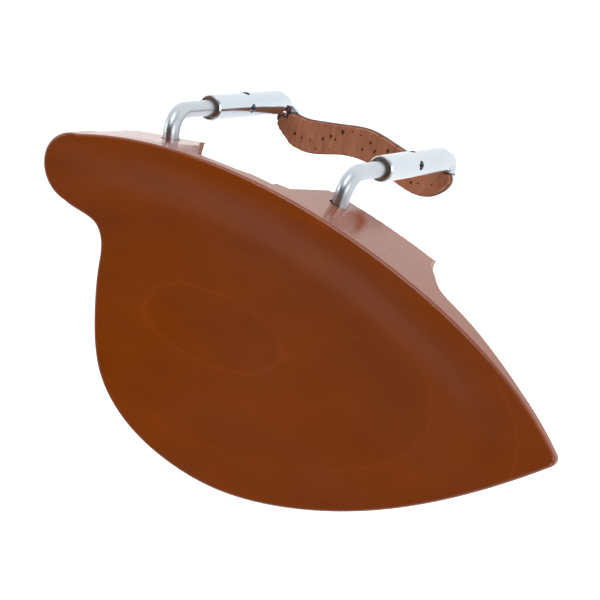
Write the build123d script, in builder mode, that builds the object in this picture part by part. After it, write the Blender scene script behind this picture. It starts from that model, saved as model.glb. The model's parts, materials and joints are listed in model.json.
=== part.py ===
"""Violin chin rest: a carved wooden plate with a two-barrel screw clamp.

The plate stands on two cork-lined feet on the violin's top. Two bent rods come out of its
outer wall and hang down into turnbuckle barrels. A cork-lined foot strap hangs below on two
threaded legs, and the barrels draw it up against the violin's back.

Millimetres. +X runs along the clamp from the left rod to the right rod, +Y points outwards,
away from the violin, and +Z is up. The origin lies on the violin's top, midway between the
barrels.
"""

import math
import os

from build123d import *

# ---- driving dimensions ----
BARREL_SPACING = 42.0  # between the two barrels' axes
ROD_HEIGHT = 6.3  # axis of the rods where they leave the wood
JAW_GAP = 40.0  # from the violin's top down to the foot's cork
PAD_THICK = 1.6  # cork under the wooden feet

# Wooden plate
DISH_Y = -39.0  # the dish's lowest point is at X = 0 and this Y
DISH_Z = 14.6
DISH_R_ACROSS = 115.0  # radius of the dish in a section across X
DISH_R_ALONG = 600.0  # radius of its lowest line, along X
PLATE_THICK = 4.4  # at the lowest point of the dish
UNDER_R_ACROSS = 110.0
UNDER_R_ALONG = 420.0
BOWL_HALF_LENGTH = 130.0
BLANK_TOP = 26.0
RIM_ROUND = 0.7
TIP_ROUND = 1.6
FOOT_LEFT_X = -30.5  # outer ends of the two feet
FOOT_RIGHT_X = 41.2
LEFT_FOOT_REACH = 19.2  # how far in the left foot reaches
LEFT_FOOT_INSET = 0.85  # how far its outer face leans in at the bottom
LEAN_HEIGHT = 17.5  # where that face meets the plate's wall
LEFT_FOOT_EDGE = (-22.0, -5.45)  # a point of that face at that height
LEFT_FOOT_SKEW = 8.5  # the face's turn from the clamp's line
ARCH_LEFT_X = -15.2
ARCH_RIGHT_X = 16.0
ARCH_REACH = 26.0  # how far in the arch runs
ARCH_SKIN = 3.0  # wood left over the arch
ARCH_ROUNDS = (2.0, 3.0, 4.0, 6.0)  # of its corners, from the lowest up

# Upper rods
ROD_DIA = 3.4
ROD_BEND = 4.5
ROD_CHAMFER = 0.4
ROD_IN_WOOD = 12.0
ROD_HOLE_DEPTH = 12.4
ROD_HOLE_DIA = 3.5
ROD_MOUTH_DIA = 4.2  # the hole's mouth is opened out, and shows as a ring round the rod
ROD_MOUTH_DEPTH = 0.7
MOUTH_STAND = 2.0  # the mouth's cutter starts this far outside the wall
ROD_SPLAY = {"left": 9.0, "right": -3.5}  # degrees from +Y, positive towards -X
WALL_TO_AXIS = {"left": 5.5, "right": 6.0}  # along the rod, from the wood to the barrel's axis

# Barrels
BARREL_DIA = 5.5
BARREL_LENGTH = 29.6
BARREL_TOP = {"left": -8.0, "right": -7.3}
BARREL_CHAMFER = 0.25  # round the mouth
BARREL_NOSE = 0.8  # rounding of the lower end
MOUTH_DIA = 4.9
MOUTH_DEPTH = 1.0
KEY_HOLE_DIA = 2.0
KEY_HOLE_DROP = 13.9  # from the barrel's top to its key holes
KEY_HOLE_TURN = {"left": 0.0, "right": 12.0}  # degrees about the barrel's axis
ROD_IN_BARREL = 12.2
LEG_IN_BARREL = 10.8
THREAD_CLEARANCE = 0.05

# Lower legs
LEG_DIA = 3.6
LEG_BEND = 2.6
LEG_REACH = 5.0
LEG_FLAT_START = 3.0  # from the barrel's axis to the flat that the strap lies on
LEG_FLAT_HEIGHT = 1.3  # left under the strap

# Foot strap
STRAP_THICK = 1.0
FOOT_CORK_THICK = 1.3
WEB_REACH = 3.2  # webs in the corners between the strap and the legs
WEB_TOP = -0.5
WEB_LOW = -2.4
STRAP_LEG_GAP = 0.06
CORK_INSET = 0.3
CORK_LEG_GAP = 0.3

SIDES = {"left": -1, "right": 1}

# ---- values worked out from them ----
UNDER_Z = DISH_Z - PLATE_THICK
STRAP_TOP = -JAW_GAP - FOOT_CORK_THICK
STRAP_BOTTOM = STRAP_TOP - STRAP_THICK
LEG_BOTTOM = STRAP_BOTTOM - LEG_FLAT_HEIGHT


def side_x(side):
    return SIDES[side] * BARREL_SPACING / 2


def bowl(low_z, r_across, r_along):
    """A solid of revolution about an axis along X. Its lowest line is an arc of r_along."""
    half = BOWL_HALF_LENGTH
    axis_z = low_z + r_across
    crown_z = axis_z + r_across
    ends_z = crown_z - r_along + (r_along**2 - half**2) ** 0.5
    with BuildPart() as solid:
        with BuildSketch(Plane.XZ.offset(-DISH_Y)):
            with BuildLine():
                Spline((-half, ends_z), (0, crown_z), (half, ends_z))
                Polyline((half, ends_z), (half, axis_z), (-half, axis_z), (-half, ends_z))
            make_face()
        revolve(axis=Axis((0, DISH_Y, axis_z), (1, 0, 0)))
    return solid.part


def outline():
    """The plate's outline in plan: the outer wall, the lobe, the notch and the cup."""
    wall = Spline(
        (-34.4, -8.3), (-19.0, -5.0), (0.0, -4.2), (19.0, -6.2), (38.0, -10.7), (56.0, -17.2),
        (70.0, -24.6), (82.4, -34.6),
    )
    lobe = ThreePointArc((-35.6, -23.2), (-41.6, -15.6), wall @ 0)
    Spline(
        lobe @ 0, (-31.0, -24.4), (-27.4, -25.8), (-25.7, -28.8), (-25.2, -34.0), (-23.6, -44.2),
        (-19.0, -55.0), (-10.0, -62.4), (2.0, -66.5), (14.0, -67.7), (30.0, -65.4), (50.0, -57.8),
        (68.0, -46.5), wall @ 1,
    )


def plate_blank():
    """The plate's outline pulled up to a block, with its tip rounded."""
    with BuildPart() as solid:
        with BuildSketch(Plane.XY):
            with BuildLine():
                outline()
            make_face()
        extrude(amount=BLANK_TOP)
        fillet(solid.edges().filter_by(Axis.Z).sort_by(Axis.X)[-1], radius=TIP_ROUND)
    return solid.part


def left_foot_block():
    """The foot under the lobe. Its outer face leans in, and its outer end is sloped."""
    with BuildPart() as solid:
        with BuildSketch(Plane.XY):
            with BuildLine():
                outline()
            make_face()
            Rectangle(60, 2 * LEFT_FOOT_REACH, align=(Align.MAX, Align.CENTER), mode=Mode.INTERSECT)
        extrude(amount=LEAN_HEIGHT)
        with BuildSketch(Plane.XZ):
            with BuildLine():
                Polyline(
                    (-46, 14.8), (-46, LEAN_HEIGHT), (0, LEAN_HEIGHT), (0, PAD_THICK),
                    (FOOT_LEFT_X, PAD_THICK),
                )
                Spline((FOOT_LEFT_X, PAD_THICK), (-31.8, 6.0), (-34.5, 11.2), (-46, 14.8))
            make_face()
        extrude(amount=60, mode=Mode.INTERSECT)
        lean = math.degrees(math.atan(LEFT_FOOT_INSET / LEAN_HEIGHT))
        edge = Location((*LEFT_FOOT_EDGE, LEAN_HEIGHT), (0, 0, LEFT_FOOT_SKEW))
        with Locations(edge * Rotation(-lean, 0, 0)):
            Box(80, 20, 60, align=(Align.CENTER, Align.MIN, Align.CENTER), mode=Mode.SUBTRACT)
    return solid.part


def right_foot_block():
    """The longer foot, and the skirt that runs out along the wall from it towards the tip."""
    start_x = ARCH_RIGHT_X - 6
    with BuildPart() as solid:
        with BuildSketch(Plane.XZ):
            with BuildLine():
                Polyline(
                    (90, 19.0), (90, BLANK_TOP), (start_x, BLANK_TOP), (start_x, PAD_THICK),
                    (FOOT_RIGHT_X, PAD_THICK),
                )
                Spline(
                    (FOOT_RIGHT_X, PAD_THICK), (42.0, 4.6), (44.2, 7.4), (48.3, 12.0),
                    (54.0, 13.4), (63.0, 15.5), (74.0, 17.8), (90, 19.0),
                )
            make_face()
        extrude(amount=60)
        with BuildSketch(Plane.XY):
            with BuildLine():
                Polyline((90, -38), (90, 0), (0, 0), (0, -19.4))
                Spline((0, -19.4), (42.0, -22.5), (56.0, -24.0), (68.0, -26.5), (90, -38))
            make_face()
        extrude(amount=BLANK_TOP, mode=Mode.INTERSECT)
    return solid.part


def arch_way():
    """The way for the tailpiece: a sloped side on the left, a high top and a steep right side."""
    skin = bowl(DISH_Z - ARCH_SKIN, DISH_R_ACROSS + ARCH_SKIN, DISH_R_ALONG)
    with BuildPart() as solid:
        with BuildSketch(Plane.XZ) as front:
            with BuildLine():
                Polyline(
                    (ARCH_RIGHT_X, -1.0), (ARCH_LEFT_X, -1.0), (ARCH_LEFT_X, 3.0), (-7.2, 16.9),
                    (1.5, 17.0), (12.6, 13.2), (ARCH_RIGHT_X, -1.0),
                )
            make_face()
            corners = front.vertices().sort_by(Axis.Y)[2:]
            for corner, radius in zip(corners, ARCH_ROUNDS):
                fillet(corner, radius=radius)
        extrude(amount=ARCH_REACH)
        add(skin, mode=Mode.SUBTRACT)
    return solid.part


def within_outline(solid):
    """What a solid has in common with the plate's blank."""
    with BuildPart() as common:
        add(solid)
        add(blank, mode=Mode.INTERSECT)
    return common.part


def rod_plane(side):
    """Upright plane through a barrel's axis. Its local X points into the wood, local Y up."""
    inward = Vector(0, -1, 0).rotate(Axis.Z, ROD_SPLAY[side])
    return Plane(origin=(side_x(side), 0, 0), x_dir=inward, z_dir=inward.cross(Vector(0, 0, 1)))


def rod_mouth_plane(side):
    """Plane across a rod where it leaves the wood, facing outwards."""
    upright = rod_plane(side)
    mouth = upright.from_local_coords((WALL_TO_AXIS[side], ROD_HEIGHT, 0))
    return Plane(origin=mouth, z_dir=-upright.x_dir)


def cork_pad(sole):
    """The cork under one wooden foot."""
    with BuildPart() as pad:
        with BuildSketch(Plane.XY):
            with BuildLine():
                add(sole.outer_wire().moved(Location((0, 0, -PAD_THICK))))
            make_face()
        extrude(amount=PAD_THICK)
    return pad.part


def upper_rod(side):
    """A bent rod: one end in the wood, the other hanging down into the barrel."""
    low_z = BARREL_TOP[side] - ROD_IN_BARREL
    wood_end = WALL_TO_AXIS[side] + ROD_IN_WOOD
    with BuildPart() as solid:
        with BuildLine(rod_plane(side)) as route:
            FilletPolyline((0, low_z), (0, ROD_HEIGHT), (wood_end, ROD_HEIGHT), radius=ROD_BEND)
        with BuildSketch(Plane.XY.offset(low_z)):
            with Locations((side_x(side), 0)):
                Circle(ROD_DIA / 2)
        sweep(path=route.wires()[0])
        chamfer(solid.faces().filter_by(GeomType.PLANE).edges(), length=ROD_CHAMFER)
    return solid.part


def barrel(side):
    """A turnbuckle tube: a wide mouth over the rod, a bore for each thread, four key holes."""
    x = side_x(side)
    top_z = BARREL_TOP[side]
    rod_bore = ROD_DIA / 2 + THREAD_CLEARANCE
    leg_bore = LEG_DIA / 2 + THREAD_CLEARANCE
    with BuildPart() as solid:
        with BuildSketch(Plane.XY.offset(top_z - BARREL_LENGTH)):
            with Locations((x, 0)):
                Circle(BARREL_DIA / 2)
        extrude(amount=BARREL_LENGTH)
        chamfer(solid.edges().sort_by(Axis.Z)[-1], length=BARREL_CHAMFER)
        fillet(solid.edges().sort_by(Axis.Z)[0], radius=BARREL_NOSE)
        with Locations((x, 0, top_z)):
            CounterBoreHole(rod_bore, MOUTH_DIA / 2, MOUTH_DEPTH)
        with Locations((x, 0, top_z - KEY_HOLE_DROP)):
            Cylinder(
                leg_bore, BARREL_LENGTH, align=(Align.CENTER, Align.CENTER, Align.MAX),
                mode=Mode.SUBTRACT,
            )
            for quarter in (0, 90):
                turn = KEY_HOLE_TURN[side] + quarter
                Cylinder(
                    KEY_HOLE_DIA / 2, 2 * BARREL_DIA, rotation=(90, turn, 0), mode=Mode.SUBTRACT
                )
    return solid.part


def lower_leg(side):
    """A rod threaded at its top, bent in under the strap and milled flat to carry it."""
    x = side_x(side)
    top_z = BARREL_TOP[side] - BARREL_LENGTH + LEG_IN_BARREL
    axis_z = LEG_BOTTOM + LEG_DIA / 2
    with BuildPart() as solid:
        with BuildLine(Plane.YZ.offset(x)) as route:
            FilletPolyline((0, top_z), (0, axis_z), (-LEG_REACH, axis_z), radius=LEG_BEND)
        with BuildSketch(Plane.XY.offset(top_z)):
            with Locations((x, 0)):
                Circle(LEG_DIA / 2)
        sweep(path=route.wires()[0])
        chamfer(solid.faces().filter_by(GeomType.PLANE).edges(), length=ROD_CHAMFER)
        with Locations((x, -LEG_FLAT_START, STRAP_BOTTOM)):
            Box(
                2 * LEG_DIA, LEG_REACH, LEG_DIA, align=(Align.CENTER, Align.MAX, Align.MIN),
                mode=Mode.SUBTRACT,
            )
    return solid.part


def foot_layer(bottom_z, thick, inset, web_reach, leg_gap):
    """One layer of the foot: wavy in outline, swelling towards its ends, open round the legs."""
    with BuildPart() as layer:
        with BuildSketch(Plane.XY.offset(bottom_z)):
            with BuildLine():
                Spline(
                    (-21.4 + inset, -4.2), (-19.2 + inset, -1.9 - inset), (-15.4, -2.0 - inset),
                    (-10.6, -1.5 - inset), (-5.5, -0.6 - inset), (1.0, 0.3 - inset),
                    (7.5, -0.8 - inset), (12.6, -2.0 - inset), (17.4, -2.4 - inset),
                    (21.0 - inset, -2.1 - inset), (23.0 - inset, -4.4),
                    (21.6 - inset, -7.6 + inset), (19.0, -9.5 + inset), (15.2, -10.2 + inset),
                    (11.0, -9.4 + inset), (6.0, -7.9 + inset), (1.0, -7.0 + inset),
                    (-4.4, -7.4 + inset), (-9.6, -8.9 + inset), (-13.6, -9.5 + inset),
                    (-17.0, -8.9 + inset), (-19.6 + inset, -7.3 + inset),
                    periodic=True,
                )
            make_face()
            if web_reach > 0:
                for side, sign in SIDES.items():
                    web_x = side_x(side) - sign * LEG_DIA / 2
                    Polygon(
                        (web_x, WEB_TOP), (web_x, WEB_LOW), (web_x - sign * web_reach, WEB_LOW),
                        align=None,
                    )
        extrude(amount=thick)
        for side in SIDES:
            with Locations((side_x(side), -LEG_FLAT_START - leg_gap, bottom_z)):
                Box(
                    LEG_DIA + 2 * leg_gap, 3 * LEG_DIA, 4 * thick,
                    align=(Align.CENTER, Align.MIN, Align.CENTER), mode=Mode.SUBTRACT,
                )
    return layer.part


# ---- the wooden plate ----
blank = plate_blank()
shell = within_outline(bowl(UNDER_Z, UNDER_R_ACROSS, UNDER_R_ALONG))
right_foot = within_outline(right_foot_block())
left_foot = left_foot_block()
dish = bowl(DISH_Z, DISH_R_ACROSS, DISH_R_ALONG)
arch = arch_way()
mouths = {side: rod_mouth_plane(side) for side in SIDES}

with BuildPart() as chin_plate:
    add(shell)
    add(right_foot)
    add(left_foot)
    add(dish, mode=Mode.SUBTRACT)
    add(arch, mode=Mode.SUBTRACT)
    rim = chin_plate.faces().sort_by(SortBy.AREA)[-1]
    fillet(rim.edges(), radius=RIM_ROUND)
    for mouth in mouths.values():
        with BuildSketch(mouth):
            Circle(ROD_HOLE_DIA / 2)
        extrude(amount=-ROD_HOLE_DEPTH, mode=Mode.SUBTRACT)
        with BuildSketch(mouth.offset(MOUTH_STAND)):
            Circle(ROD_MOUTH_DIA / 2)
        extrude(amount=-ROD_MOUTH_DEPTH - MOUTH_STAND, mode=Mode.SUBTRACT)

# ---- everything that comes in a left and a right piece ----
pieces = {"chin_plate": chin_plate.part}
soles = chin_plate.faces().filter_by(Axis.Z).group_by(Axis.Z)[0].sort_by(Axis.X)
for side, sole in zip(SIDES, soles):
    pieces[side + "_cork_pad"] = cork_pad(sole)
    pieces[side + "_upper_rod"] = upper_rod(side)
    pieces[side + "_barrel"] = barrel(side)
    pieces[side + "_lower_leg"] = lower_leg(side)

# ---- the foot ----
pieces["foot_strap"] = foot_layer(STRAP_BOTTOM, STRAP_THICK, 0.0, WEB_REACH, STRAP_LEG_GAP)
pieces["foot_cork"] = foot_layer(STRAP_TOP, FOOT_CORK_THICK, CORK_INSET, 0.0, CORK_LEG_GAP)

os.makedirs("parts", exist_ok=True)
for name, piece in pieces.items():
    piece.label = name
    export_step(piece, "parts/" + name + ".step")
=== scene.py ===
"""Looks for the violin chin rest: lacquered wood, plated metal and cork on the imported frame."""

import json
import math
import random

import bmesh
import bpy
from mathutils import Matrix, Vector, noise
from mathutils.bvhtree import BVHTree
from mathutils.geometry import barycentric_transform, delaunay_2d_cdt
from mathutils.kdtree import KDTree


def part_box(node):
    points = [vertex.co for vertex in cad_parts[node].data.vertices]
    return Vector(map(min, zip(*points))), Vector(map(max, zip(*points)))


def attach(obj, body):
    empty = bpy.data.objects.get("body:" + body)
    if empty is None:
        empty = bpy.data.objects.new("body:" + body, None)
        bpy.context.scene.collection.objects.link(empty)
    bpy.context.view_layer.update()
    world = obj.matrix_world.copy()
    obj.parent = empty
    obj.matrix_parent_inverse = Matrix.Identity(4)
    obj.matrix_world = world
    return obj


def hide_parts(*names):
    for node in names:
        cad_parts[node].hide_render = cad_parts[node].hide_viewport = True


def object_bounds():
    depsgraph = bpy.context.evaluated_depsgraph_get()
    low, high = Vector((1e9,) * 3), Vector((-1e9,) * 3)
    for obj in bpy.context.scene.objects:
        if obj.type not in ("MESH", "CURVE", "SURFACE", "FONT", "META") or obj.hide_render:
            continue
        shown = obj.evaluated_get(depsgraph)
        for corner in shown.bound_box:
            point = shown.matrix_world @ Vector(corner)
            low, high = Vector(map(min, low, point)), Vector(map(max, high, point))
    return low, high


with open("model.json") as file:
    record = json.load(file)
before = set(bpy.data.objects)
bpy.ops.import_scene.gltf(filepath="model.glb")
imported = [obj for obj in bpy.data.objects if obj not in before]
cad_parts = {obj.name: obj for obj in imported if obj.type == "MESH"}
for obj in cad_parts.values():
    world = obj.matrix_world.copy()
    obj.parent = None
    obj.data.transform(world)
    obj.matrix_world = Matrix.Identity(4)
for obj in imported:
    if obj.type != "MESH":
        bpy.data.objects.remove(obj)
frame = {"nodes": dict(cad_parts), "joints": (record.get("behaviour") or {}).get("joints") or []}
cad_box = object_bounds()
nodes = frame["nodes"]
MM = 0.001
SEED = 7

# ---- camera ----
CAMERA_AT = Vector((184.51, 79.49, 356.22)) * MM
LOOK = Vector((-0.4155, -0.2664, -0.8697)).normalized()
IMAGE_UP = Vector((-0.3332, 0.9343, -0.1271))
LENS = 120.7
SENSOR = 36.0


def add_camera():
    data = bpy.data.cameras.new("camera")
    data.lens = LENS
    data.sensor_width = SENSOR
    data.clip_start = 0.01
    camera = bpy.data.objects.new("camera", data)
    right = LOOK.cross(IMAGE_UP).normalized()
    up = right.cross(LOOK)
    turn = Matrix((right, up, -LOOK)).transposed()
    camera.matrix_world = Matrix.Translation(CAMERA_AT) @ turn.to_4x4()
    bpy.context.scene.collection.objects.link(camera)
    bpy.context.scene.camera = camera


# ---- stage and light ----
FLOOR_HALF = 3.0
FLOOR_GAP = 0.3 * MM
FLOOR_GLOW = 0.54
LAMPS = (  # azimuth and elevation in degrees, distance and size in metres, power in watts
    (100, 42, 1.2, 0.9, 6.6),
    (15, 38, 1.2, 0.8, 3.9),
    (-62, 36, 1.2, 0.8, 3.9),
    (178, 28, 1.2, 0.7, 2.6),
)
HORIZON = 1.03  # strength of the surroundings near the horizon
OVERHEAD = 0.03  # and overhead
HORIZON_TOP = 0.16  # sine of the elevation up to which the surroundings are bright
OVERHEAD_FROM = 0.84  # and of the one from which they are dark


def new_tree(material):
    material.use_nodes = True
    tree = material.node_tree
    return tree, tree.nodes["Principled BSDF"]


def add_floor():
    """A plain floor just under the lowest place that the foot slides to."""
    travel = max(joint["range_m"][1] for joint in frame["joints"] if joint["type"] == "slide")
    low = cad_box[0][2] - travel - FLOOR_GAP
    half = FLOOR_HALF
    corners = [(-half, -half, low), (half, -half, low), (half, half, low), (-half, half, low)]
    mesh = bpy.data.meshes.new("floor")
    mesh.from_pydata(corners, [], [(0, 1, 2, 3)])
    floor = bpy.data.objects.new("floor", mesh)
    bpy.context.scene.collection.objects.link(floor)
    material = bpy.data.materials.new("floor")
    tree, shader = new_tree(material)
    shader.inputs["Base Color"].default_value = (0.9, 0.9, 0.9, 1)
    shader.inputs["Roughness"].default_value = 0.9
    shader.inputs["Specular IOR Level"].default_value = 0.1
    shader.inputs["Emission Color"].default_value = (1, 1, 1, 1)
    shader.inputs["Emission Strength"].default_value = FLOOR_GLOW
    mesh.materials.append(material)


def add_lamp(index, azimuth, elevation, distance, size, power):
    data = bpy.data.lights.new(f"lamp_{index}", "AREA")
    data.shape = "DISK"
    data.size = size
    data.energy = power
    lamp = bpy.data.objects.new(data.name, data)
    az, el = math.radians(azimuth), math.radians(elevation)
    out = Vector((math.cos(az) * math.cos(el), math.sin(az) * math.cos(el), math.sin(el)))
    lamp.location = out * distance
    lamp.rotation_euler = out.to_track_quat("Z", "Y").to_euler()
    bpy.context.scene.collection.objects.link(lamp)


def add_world():
    """Bright near the horizon and dark overhead, like a black ceiling over a white table."""
    world = bpy.data.worlds.new("studio")
    bpy.context.scene.world = world
    world.use_nodes = True
    tree = world.node_tree
    back = tree.nodes["Background"]
    coord = tree.nodes.new("ShaderNodeTexCoord")
    split = tree.nodes.new("ShaderNodeSeparateXYZ")
    fade = tree.nodes.new("ShaderNodeMapRange")
    fade.interpolation_type = "SMOOTHERSTEP"
    fade.inputs["From Min"].default_value = HORIZON_TOP
    fade.inputs["From Max"].default_value = OVERHEAD_FROM
    fade.inputs["To Min"].default_value = HORIZON
    fade.inputs["To Max"].default_value = OVERHEAD
    tree.links.new(coord.outputs["Generated"], split.inputs[0])
    tree.links.new(split.outputs["Z"], fade.inputs["Value"])
    tree.links.new(fade.outputs["Result"], back.inputs["Strength"])
    back.inputs["Color"].default_value = (1, 1, 1, 1)


add_camera()
add_floor()
add_world()
for index, lamp in enumerate(LAMPS):
    add_lamp(index, *lamp)
bpy.context.scene.view_settings.view_transform = "Standard"
bpy.context.scene.view_settings.look = "None"


# ---- material helpers ----
class Tree:
    """Short calls for a material's nodes. Its coordinates are the part's own, in metres."""

    def __init__(self, name):
        self.material = bpy.data.materials.new(name)
        self.tree, self.shader = new_tree(self.material)
        self.place = self.tree.nodes.new("ShaderNodeTexCoord").outputs["Object"]

    def link(self, output, socket):
        self.tree.links.new(output, socket)

    def node(self, kind, **inputs):
        node = self.tree.nodes.new(kind)
        for name, value in inputs.items():
            socket = node.inputs[int(name[1:])] if name[1:].isdigit() else node.inputs[name.replace("_", " ")]
            if isinstance(value, bpy.types.NodeSocket):
                self.link(value, socket)
            else:
                socket.default_value = value
        return node

    def math(self, operation, a, b=0.0, clamp=False):
        node = self.node("ShaderNodeMath", _0=a, _1=b)
        node.operation = operation
        node.use_clamp = clamp
        return node.outputs[0]

    def stretched(self, scale, turn=(0, 0, 0)):
        """The place scaled along each axis, and turned."""
        node = self.node("ShaderNodeMapping", Vector=self.place, Rotation=turn, Scale=scale)
        return node.outputs[0]

    def noise(self, vector, detail=3.0, rough=0.5):
        node = self.node("ShaderNodeTexNoise", Vector=vector, Scale=1.0, Detail=detail, Roughness=rough)
        return node.outputs["Fac"]

    def cells(self, vector):
        return self.node("ShaderNodeTexVoronoi", Vector=vector, Scale=1.0)

    def spread(self, value, low, high, to_low=0.0, to_high=1.0, smooth=False):
        node = self.node("ShaderNodeMapRange", Value=value)
        node.interpolation_type = "SMOOTHSTEP" if smooth else "LINEAR"
        node.inputs["From Min"].default_value = low
        node.inputs["From Max"].default_value = high
        node.inputs["To Min"].default_value = to_low
        node.inputs["To Max"].default_value = to_high
        return node.outputs["Result"]

    def mix(self, fac, a, b, blend="MIX"):
        node = self.tree.nodes.new("ShaderNodeMix")
        node.data_type = "RGBA"
        node.blend_type = blend
        for socket, value in ((node.inputs[0], fac), (node.inputs[6], a), (node.inputs[7], b)):
            if isinstance(value, bpy.types.NodeSocket):
                self.link(value, socket)
            else:
                socket.default_value = (*value, 1) if isinstance(value, tuple) else value
        return node.outputs[2]

    def grey(self, level):
        return self.node("ShaderNodeCombineColor", _0=level, _1=level, _2=level).outputs[0]

    def bump(self, height, strength, distance):
        node = self.node("ShaderNodeBump", Strength=strength, Distance=distance, Height=height)
        return node.outputs[0]

    def set(self, **inputs):
        for name, value in inputs.items():
            socket = self.shader.inputs[name.replace("_", " ")]
            if isinstance(value, bpy.types.NodeSocket):
                self.link(value, socket)
            else:
                socket.default_value = value


# ---- wood ----
GRID_TURN = (0, 0, math.radians(-11))  # of the noise's own grid. The grain runs along X
LAYER = 2.0 * MM  # growth layers lie nearly flat and show as ovals in the dish
LAYER_TILT = (-0.007, -0.0126)  # their slope in X and Y, which places the ovals in the dish
LAYER_WARP = 0.4 * MM
LAYER_SHIFT = 0.54 * MM  # sets how large the innermost oval is
WOOD_WARM = (0.205, 0.0375, 0.0015)
WOOD_COOL = (0.192, 0.0395, 0.0075)
WOOD_DARK = (0.060, 0.011, 0.0022)


def wood_material():
    """Orange-brown stained fruitwood under gloss lacquer, with flat growth layers and fine pores."""
    t = Tree("lacquered_wood")
    split = t.node("ShaderNodeSeparateXYZ", Vector=t.place)
    warp = t.noise(t.stretched((14, 55, 55), turn=GRID_TURN), detail=2.0)
    height = t.math("ADD", split.outputs["Z"], t.math("MULTIPLY", split.outputs["X"], LAYER_TILT[0]))
    height = t.math("ADD", height, t.math("MULTIPLY", split.outputs["Y"], LAYER_TILT[1]))
    height = t.math("ADD", height, t.math("MULTIPLY", warp, LAYER_WARP))
    height = t.math("ADD", height, LAYER_SHIFT)
    layer = t.math("FRACT", t.math("DIVIDE", height, LAYER))
    late = t.math("MULTIPLY", t.spread(layer, 0.35, 0.7, smooth=True), t.spread(layer, 0.7, 0.98, 1.0, 0.0))
    line = t.math("MULTIPLY", t.spread(layer, 0.0, 0.008), t.spread(layer, 0.012, 0.035, 1.0, 0.0))
    glow = t.math("MULTIPLY", t.spread(layer, 0.0, 0.3, 0.3, 0.0), t.spread(layer, 0.0, 0.01))
    early = t.math("ADD", line, glow)
    fibre = t.noise(t.stretched((160, 2600, 2600), turn=GRID_TURN), detail=3.0, rough=0.6)
    streak = t.noise(t.stretched((28, 420, 420), turn=GRID_TURN), detail=3.0, rough=0.55)
    cloud = t.noise(t.stretched((22, 34, 34)), detail=2.0)
    mottle = t.noise(t.stretched((75, 110, 110)), detail=3.0, rough=0.6)
    pore_cells = t.cells(t.stretched((420, 5200, 5200), turn=GRID_TURN))
    pore = t.spread(pore_cells.outputs["Distance"], 0.10, 0.26, 1.0, 0.0)
    pore = t.math("MULTIPLY", pore, t.spread(fibre, 0.46, 0.62))

    color = t.mix(t.spread(cloud, 0.36, 0.66), WOOD_WARM, WOOD_COOL)
    tone = t.math("ADD", t.spread(streak, 0.25, 0.75, 0.98, 1.02), t.spread(fibre, 0.2, 0.8, -0.05, 0.05))
    tone = t.math("ADD", tone, t.spread(mottle, 0.25, 0.75, -0.08, 0.08))
    tone = t.math("SUBTRACT", tone, t.math("MULTIPLY", late, 0.05))
    tone = t.math("ADD", tone, t.math("MULTIPLY", early, 0.10))
    color = t.mix(1.0, color, t.grey(tone), "MULTIPLY")
    color = t.mix(t.math("MULTIPLY", pore, 0.34), color, WOOD_DARK)
    t.set(Base_Color=color)
    t.set(Roughness=t.spread(streak, 0.2, 0.8, 0.38, 0.48))
    t.set(Specular_IOR_Level=0.0, Coat_Weight=1.0, Coat_Roughness=0.18, Coat_IOR=1.5)
    t.set(Normal=t.bump(t.math("SUBTRACT", fibre, pore), 0.35, 0.012 * MM))
    return t.material


# ---- metal ----
METAL_TINT = (0.51, 0.57, 0.62)
ROD_TINT = (0.46, 0.50, 0.54)
# painted light: a lighter warm grey for the inside of a barrel's mouth, standing in for light on the floor of
# a shallow mouth
BORE_PAINTED_LIGHT = (0.62, 0.53, 0.46)
BARREL_ROUGH = 0.15
ROD_ROUGH = 0.3
BORE_ROUGH = 0.32  # added inside a barrel's mouth
BORE_EDGE = 2.55 * MM  # the mouth's radius, and a little over
MOUTH_LOW = 1.3 * MM  # under the barrel's top


def metal_material(name, tint, rough, bore_at=None):
    """Bluish plating with polishing lines round the piece, faint smudges and a few scratches.

    bore_at is the centre of a barrel's mouth: inside the mouth, the metal gets a painted lighter warm grey
    that stands in for light reaching the mouth's floor, and is duller.
    """
    t = Tree(name)
    lines = t.noise(t.stretched((700, 700, 9000)), detail=3.0, rough=0.65)
    smudge = t.noise(t.stretched((140, 140, 90)), detail=3.0, rough=0.6)
    haze = t.noise(t.stretched((45, 45, 45)), detail=2.0)
    wave = t.cells(t.stretched((900, 900, 260), turn=(0.4, 0.9, 0.2)))
    scratch = t.spread(wave.outputs["Distance"], 0.0, 0.05, 1.0, 0.0)
    shade = t.spread(haze, 0.3, 0.7, 0.96, 1.03)
    color = t.mix(1.0, tint, t.grey(shade), "MULTIPLY")
    gloss = t.spread(smudge, 0.45, 0.75, rough, rough + 0.14)
    gloss = t.math("ADD", gloss, t.math("MULTIPLY", scratch, 0.12))
    if bore_at:
        out = t.node("ShaderNodeVectorMath", _0=t.place, _1=bore_at)
        out.operation = "SUBTRACT"
        flat = t.node("ShaderNodeVectorMath", _0=out.outputs[0], _1=(1, 1, 0))
        flat.operation = "MULTIPLY"
        away = t.node("ShaderNodeVectorMath", _0=flat.outputs[0])
        away.operation = "LENGTH"
        inner = t.spread(away.outputs["Value"], BORE_EDGE - 0.1 * MM, BORE_EDGE, 1.0, 0.0)
        down = t.node("ShaderNodeSeparateXYZ", Vector=out.outputs[0]).outputs["Z"]
        inner = t.math("MULTIPLY", inner, t.spread(down, -MOUTH_LOW - 0.1 * MM, -MOUTH_LOW))
        # painted light: the mouth's inside is coloured a lighter warm grey that stands in for light reaching
        # its floor
        color = t.mix(inner, color, BORE_PAINTED_LIGHT)
        gloss = t.math("ADD", gloss, t.math("MULTIPLY", inner, BORE_ROUGH))
    t.set(Base_Color=color, Metallic=1.0, Roughness=gloss)
    height = t.math("SUBTRACT", lines, t.math("MULTIPLY", scratch, 0.8))
    t.set(Normal=t.bump(height, 0.25, 0.004 * MM))
    return t.material


# ---- cork ----
CORK_LIGHT = (0.45, 0.185, 0.10)
CORK_MAIN = (0.275, 0.094, 0.047)
CORK_PORE = (0.022, 0.006, 0.003)


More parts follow.
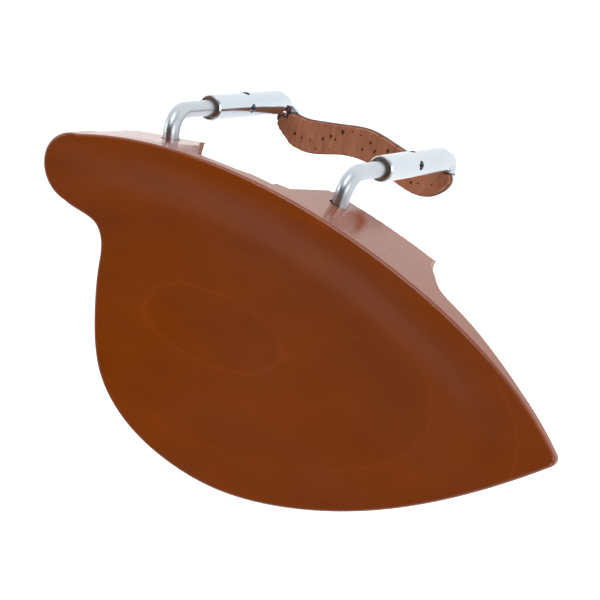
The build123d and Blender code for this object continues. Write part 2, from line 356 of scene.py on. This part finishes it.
def cork_material():
    """Reddish brown sheet cork: fine streaks, small granules, and dark open pores."""
    t = Tree("sheet_cork")
    granules = t.cells(t.stretched((1500, 900, 1500)))
    grain = t.node("ShaderNodeSeparateColor", Color=granules.outputs["Color"]).outputs[0]
    fine = t.noise(t.stretched((3200, 2600, 3200)), detail=4.0, rough=0.7)
    bands = t.noise(t.stretched((900, 90, 900)), detail=3.0, rough=0.6)
    cloud = t.noise(t.stretched((210, 150, 210)), detail=2.0)
    specks = t.cells(t.stretched((1100, 700, 1100)))
    speck = t.spread(specks.outputs["Distance"], 0.08, 0.2, 1.0, 0.0)
    speck = t.math("MULTIPLY", speck, t.spread(cloud, 0.5, 0.6))
    pit = t.node("ShaderNodeAttribute")
    pit.attribute_name = "pit"
    mixer = t.math("ADD", t.math("MULTIPLY", grain, 0.3), t.spread(bands, 0.28, 0.72, 0.0, 0.6))
    mixer = t.math("ADD", mixer, t.spread(cloud, 0.3, 0.7, -0.12, 0.2), clamp=True)
    color = t.mix(mixer, CORK_MAIN, CORK_LIGHT)
    color = t.mix(t.spread(fine, 0.3, 0.7, 0.26, 0.0), color, CORK_PORE)
    color = t.mix(t.math("MULTIPLY", speck, 0.55), color, CORK_PORE)
    color = t.mix(t.math("MULTIPLY", pit.outputs["Fac"], 0.9), color, CORK_PORE)
    t.set(Base_Color=color, Roughness=t.spread(fine, 0.3, 0.7, 0.78, 0.92), Specular_IOR_Level=0.25)
    relief = t.math("SUBTRACT", t.math("ADD", fine, t.math("MULTIPLY", bands, 0.5)), speck)
    t.set(Normal=t.bump(relief, 0.5, 0.05 * MM))
    return t.material


wood = wood_material()
bright = metal_material("bright_metal", METAL_TINT, BARREL_ROUGH)
rod_metal = metal_material("rod_metal", ROD_TINT, ROD_ROUGH)
cork = cork_material()


def barrel_metal(node):
    low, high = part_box(node)
    mouth = ((low[0] + high[0]) / 2, (low[1] + high[1]) / 2, high[2])
    return metal_material(node + "_metal", METAL_TINT, BARREL_ROUGH, mouth)


def paint(obj, material):
    obj.data.materials.clear()
    obj.data.materials.append(material)


# ---- mesh helpers ----
WELD = 0.002 * MM


def new_piece(name, mesh, body, material, *replaced):
    piece = bpy.data.objects.new(name, mesh)
    bpy.context.scene.collection.objects.link(piece)
    paint(piece, material)
    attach(piece, body)
    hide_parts(*replaced)
    return piece


def welded(node):
    """A bmesh of a CAD node with its doubled points joined."""
    mesh = bmesh.new()
    mesh.from_mesh(nodes[node].data)
    bmesh.ops.remove_doubles(mesh, verts=mesh.verts, dist=WELD)
    mesh.normal_update()
    return mesh


def level_loop(node, z):
    """The outline of the flat face at that height, as an ordered list of (x, y)."""
    mesh = welded(node)
    flat = [f for f in mesh.faces if all(abs(v.co.z - z) < 0.01 * MM for v in f.verts)]
    inside = set(flat)
    rim = [e for f in flat for e in f.edges if sum(g in inside for g in e.link_faces) == 1]
    follow = {}
    for edge in rim:
        a, b = edge.verts
        follow.setdefault(a, []).append(b)
        follow.setdefault(b, []).append(a)
    start = min(follow, key=lambda v: (v.co.x, v.co.y))
    loop, last, here = [start], None, start
    while True:
        step = [v for v in follow[here] if v is not last and v is not here]
        last, here = here, step[0]
        if here is start:
            break
        loop.append(here)
    points = [Vector((v.co.x, v.co.y)) for v in loop]
    mesh.free()
    return points


def evenly(points, step):
    """A closed outline cut into equal steps."""
    count = len(points)
    lengths = [(points[(i + 1) % count] - points[i]).length for i in range(count)]
    total = sum(lengths)
    number = max(24, round(total / step))
    result, i, done = [], 0, 0.0
    for k in range(number):
        target = total * k / number
        while done + lengths[i] < target:
            done += lengths[i]
            i += 1
        part = (target - done) / lengths[i]
        result.append(points[i].lerp(points[(i + 1) % count], part))
    return result


def shrunk(points, amount):
    """The outline moved inwards by that amount."""
    count = len(points)
    area = sum(points[i].x * points[(i + 1) % count].y - points[(i + 1) % count].x * points[i].y
               for i in range(count))
    side = 1 if area > 0 else -1
    result = []
    for i in range(count):
        run = (points[(i + 1) % count] - points[i - 1]).normalized()
        result.append(points[i] + Vector((-run.y, run.x)) * side * amount)
    return result


# ---- cork sheets ----
CORK_STEP = 0.2 * MM
CORK_EDGE_ROWS = 6
PIT_DEPTH = 0.42 * MM
PIT_RADII = (0.07, 0.34, 0.12)  # least, most and usual, in millimetres


def cork_sheet(name, body, z_face, z_back, seed, pits, ragged, inset):
    """A cork sheet with a grained face, open pores, and crumbly edges, inside its CAD solid.

    z_face is the height of the face that shows, and z_back that of the glued face. inset is how far the
    whole edge lies inside the solid's, and ragged how deep its larger bites are, in millimetres.
    """
    rng = random.Random(seed)
    outline = evenly(level_loop(name, z_face), CORK_STEP)
    thick = z_back - z_face
    towards = 1 if thick > 0 else -1

    def edge_point(p, inward, depth):
        """A point of the edge, eaten in by crumbs of a few tenths of a millimetre."""
        place = Vector((p.x, p.y, depth)) / MM
        crumb = noise.fractal(place * 2.2, 0.7, 2.0, 3) * 0.5 + 0.5
        bite = max(0.0, noise.noise(place * 1.1 + Vector((seed, 0, 0))) - 0.12)
        eaten = (inset + 0.05 * crumb + ragged * bite) * MM
        return p + inward * eaten

    ring = shrunk(outline, 1.0 * MM)
    inward = [(b - a).normalized() for a, b in zip(outline, ring)]
    rows = []
    for k in range(CORK_EDGE_ROWS + 1):
        z = z_face + thick * k / CORK_EDGE_ROWS
        rows.append([edge_point(p, d, z) for p, d in zip(outline, inward)])
    face_edge = rows[0]
    low = Vector((min(p.x for p in outline), min(p.y for p in outline)))
    high = Vector((max(p.x for p in outline), max(p.y for p in outline)))
    grid = []
    y = low.y
    while y < high.y:
        x = low.x
        while x < high.x:
            jitter = Vector((rng.uniform(-0.3, 0.3), rng.uniform(-0.3, 0.3))) * CORK_STEP
            grid.append(Vector((x, y)) + jitter)
            x += CORK_STEP
        y += CORK_STEP
    tree = KDTree(len(face_edge))
    for i, p in enumerate(face_edge):
        tree.insert((p.x, p.y, 0), i)
    tree.balance()
    grid = [p for p in grid if tree.find((p.x, p.y, 0))[2] > 0.6 * CORK_STEP]
    count = len(face_edge)
    edges = [(i, (i + 1) % count) for i in range(count)]
    flat, _, faces, *_ = delaunay_2d_cdt(face_edge + grid, edges, [], 1, 1e-7)
    spots = []
    for _ in range(pits):
        at = Vector((rng.uniform(low.x, high.x), rng.uniform(low.y, high.y)))
        radius = rng.triangular(*PIT_RADII) * MM
        spots.append((at, radius, rng.uniform(1.0, 2.0), rng.uniform(-0.4, 0.4)))

    def sunk(p):
        """How far the face lies under its true plane at p, and how far p is inside a pore."""
        place = Vector((p.x, p.y, 0)) / MM
        depth = (0.03 + 0.03 * noise.fractal(place * 2.6, 0.8, 2.0, 4)) * MM
        inside = 0.0
        for at, radius, long, lean in spots:
            off = p - at
            if abs(off.x) > 3 * radius or abs(off.y) > 3 * radius:
                continue
            across = off.x * math.cos(lean) + off.y * math.sin(lean)
            down = -off.x * math.sin(lean) + off.y * math.cos(lean)
            wobble = 1 + 0.5 * noise.noise(place * 4.0)
            near = math.hypot(across, down / long) / (radius * wobble)
            inside = max(inside, min(1.0, (1.3 - near) / 0.6))
        return max(0.0, depth) + PIT_DEPTH * inside, inside

    mesh = bmesh.new()
    pit = mesh.verts.layers.float.new("pit")
    top = []
    for i, p in enumerate(flat):
        depth, inside = sunk(p) if i >= count else (0.05 * MM, 0.0)
        top.append(mesh.verts.new((p.x, p.y, z_face + towards * depth)))
        top[-1][pit] = inside
    for f in faces:
        mesh.faces.new([top[i] for i in (f if towards < 0 else reversed(f))])
    columns = [top[:count]]
    for k, row in enumerate(rows[1:], 1):
        z = z_face + thick * k / CORK_EDGE_ROWS
        columns.append([mesh.verts.new((p.x, p.y, z)) for p in row])
    for upper, lower in zip(columns, columns[1:]):
        for i in range(count):
            j = (i + 1) % count
            mesh.faces.new((upper[i], lower[i], lower[j], upper[j]))
    mesh.faces.new(columns[-1])
    bmesh.ops.recalc_face_normals(mesh, faces=mesh.faces)
    data = bpy.data.meshes.new(name + "_sheet")
    mesh.to_mesh(data)
    mesh.free()
    data.shade_smooth()
    data.set_sharp_from_angle(angle=math.radians(50))
    return new_piece(name + "_sheet", data, body, cork, name)


def add_cork():
    low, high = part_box("foot_cork")
    cork_sheet("foot_cork", "foot", high[2], low[2], SEED, 34, 0.5, 0.02)
    for number, name in enumerate(("left_cork_pad", "right_cork_pad"), 1):
        low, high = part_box(name)
        cork_sheet(name, "plate", low[2], high[2], SEED + number, 26, 0.25, 0.45)


# ---- plate ----
ROLL_WIDTH = 12.0 * MM  # how far the rolled rim reaches into the dish
ROLL_SLOPE = 0.26  # how steeply it rises from the edge
ROLL_FROM = 0.7 * MM  # the rim's own rounding
ROLL_ENDS = (-39 * MM, -24 * MM, 58 * MM, 79 * MM)  # fades in and out between these X
GRID_STEP = 1.0 * MM
WALL_LOW = 17.0 * MM  # the outer wall's upper edge is above this
TOP_LOW = 12.0 * MM  # and the dish and rim are above this
TOP_FACING = 0.8  # least Z of their normals
WALL_STEP = 0.3 * MM


def ease(value, low, high):
    part = max(0.0, min(1.0, (value - low) / (high - low)))
    return part * part * (3 - 2 * part)


def cad_normal(node):
    """A function that gives a CAD node's smooth surface normal near a place."""
    data = nodes[node].data
    data.calc_loop_triangles()
    triangles = [(t.vertices[:], t.loops[:], t.normal.copy()) for t in data.loop_triangles]
    corners = [c.vector.copy() for c in data.corner_normals]
    points = [v.co.copy() for v in data.vertices]
    tree = BVHTree.FromPolygons(points, [t[0] for t in triangles])

    def normal(place):
        near, _, index, _ = tree.find_nearest(place)
        verts, loops, flat = triangles[index]
        found = barycentric_transform(near, *(points[i] for i in verts), *(corners[i] for i in loops))
        return found.normalized() if found.length > 0.1 and found.dot(flat) > 0 else flat

    return normal


def rim_distance(mesh):
    """A function that gives how far a place is from the plate's outer wall, seen from above."""
    wall = {}
    for face in mesh.faces:
        if abs(face.normal.z) < 0.1 and face.normal.y > 0.3:
            for v in face.verts:
                if v.co.z > WALL_LOW:
                    wall[round(v.co.x / (0.5 * MM))] = Vector((v.co.x, v.co.y, 0))
    line = [wall[key] for key in sorted(wall)]
    samples = []
    for a, b in zip(line, line[1:]):
        parts = max(1, math.ceil((b - a).length / WALL_STEP))
        samples += [a.lerp(b, k / parts) for k in range(parts)]
    tree = KDTree(len(samples))
    for i, p in enumerate(samples):
        tree.insert(p, i)
    tree.balance()
    return lambda x, y: tree.find((x, y, 0))[2]


def plate_body():
    """The plate with a softly rolled rim along its outer side, over a slightly steeper hollow."""
    mesh = welded("chin_plate")
    away = rim_distance(mesh)
    low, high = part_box("chin_plate")
    for axis, across in enumerate((Vector((1, 0, 0)), Vector((0, 1, 0)))):
        count = round((high[axis] - low[axis]) / GRID_STEP)
        for k in range(1, count):
            at = low[axis] + (high[axis] - low[axis]) * k / count
            faces = [f for f in mesh.faces if f.normal.z > TOP_FACING
                     and min(v.co[axis] for v in f.verts) < at < max(v.co[axis] for v in f.verts)]
            around = list({e for f in faces for e in f.edges} | {v for f in faces for v in f.verts}) + faces
            bmesh.ops.bisect_plane(mesh, geom=around, dist=1e-6, plane_co=across * at, plane_no=across)
    mesh.normal_update()

    def raised(x, y):
        inner = away(x, y) - ROLL_FROM
        if not 0 < inner < ROLL_WIDTH:
            return 0.0
        ends = ease(x, *ROLL_ENDS[:2]) * (1 - ease(x, *ROLL_ENDS[2:]))
        return ends * ROLL_SLOPE * inner * (1 - inner / ROLL_WIDTH) ** 2

    normal = cad_normal("chin_plate")
    split = []
    for face in mesh.faces:
        centre = face.calc_center_median()
        rolled = face.normal.z > TOP_FACING and centre.z > TOP_LOW
        for v in face.verts:
            found = normal(v.co.lerp(centre, 0.04))
            if rolled and away(v.co.x, v.co.y) < ROLL_WIDTH + ROLL_FROM:
                x, y, h = v.co.x, v.co.y, 0.2 * MM
                slope_x = (raised(x + h, y) - raised(x - h, y)) / (2 * h)
                slope_y = (raised(x, y + h) - raised(x, y - h)) / (2 * h)
                found = (found / found.z - Vector((slope_x, slope_y, 0))).normalized()
            split.append(found)
    for v in mesh.verts:
        if v.normal.z > 0.5 and v.co.z > TOP_LOW:
            v.co.z += raised(v.co.x, v.co.y)
    data = bpy.data.meshes.new("plate_body")
    mesh.to_mesh(data)
    mesh.free()
    data.normals_split_custom_set(split)
    return new_piece("plate_body", data, "plate", wood, "chin_plate")


# ---- threaded legs ----
PITCH = 0.7 * MM
THREAD_DEPTH = 0.3 * MM
THREAD_LONG = 11.4 * MM
THREAD_ROW = 0.07 * MM
THREAD_SIDES = 40
THREAD_TUCK = 0.2 * MM  # how far its mesh runs on into the plain part
LEG_CHAMFER = 0.4 * MM


def threaded_leg(node):
    """The leg with its right-hand screw thread cut."""
    low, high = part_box(node)
    radius = (high[0] - low[0]) / 2
    axis_x, axis_y, top = (low[0] + high[0]) / 2, high[1] - radius, high[2]
    cut = top - THREAD_LONG
    mesh = welded(node)
    everything = list(mesh.verts) + list(mesh.edges) + list(mesh.faces)
    bmesh.ops.bisect_plane(mesh, geom=everything, plane_co=(0, 0, cut), plane_no=(0, 0, 1), clear_outer=True)
    bmesh.ops.holes_fill(mesh, edges=[e for e in mesh.edges if e.is_boundary])
    rows = round((THREAD_LONG + THREAD_TUCK) / THREAD_ROW)
    rings = []
    for k in range(rows + 1):
        z = top - (THREAD_LONG + THREAD_TUCK) * k / rows
        fade = ease(z, cut, cut + PITCH)
        ring = []
        for i in range(THREAD_SIDES):
            turn = i / THREAD_SIDES
            part = (z / PITCH - turn) % 1.0
            groove = max(0.0, 1 - abs(2 * part - 1) - 0.12) / 0.88
            r = radius - 0.004 * MM - THREAD_DEPTH * groove * fade
            r = min(r, radius - LEG_CHAMFER + (top - z))
            angle = 2 * math.pi * turn
            ring.append(mesh.verts.new((axis_x + r * math.cos(angle), axis_y + r * math.sin(angle), z)))
        rings.append(ring)
    for upper, lower in zip(rings, rings[1:]):
        for i in range(THREAD_SIDES):
            j = (i + 1) % THREAD_SIDES
            mesh.faces.new((upper[i], lower[i], lower[j], upper[j]))
    mesh.faces.new(list(rings[0]))
    mesh.faces.new(list(reversed(rings[-1])))
    bmesh.ops.recalc_face_normals(mesh, faces=mesh.faces)
    data = bpy.data.meshes.new(node + "_threaded")
    mesh.to_mesh(data)
    mesh.free()
    if "custom_normal" in data.attributes:
        data.attributes.remove(data.attributes["custom_normal"])
    data.shade_smooth()
    data.set_sharp_from_angle(angle=math.radians(38))
    return new_piece(node + "_threaded", data, "foot", bright, node)


for name, node in nodes.items():
    if name.endswith("barrel"):
        paint(node, barrel_metal(name))
    elif name.endswith("upper_rod"):
        paint(node, rod_metal)
    elif "cork" not in name and name != "chin_plate":
        paint(node, bright)
add_cork()
plate_body()
threaded_leg("left_lower_leg")
threaded_leg("right_lower_leg")
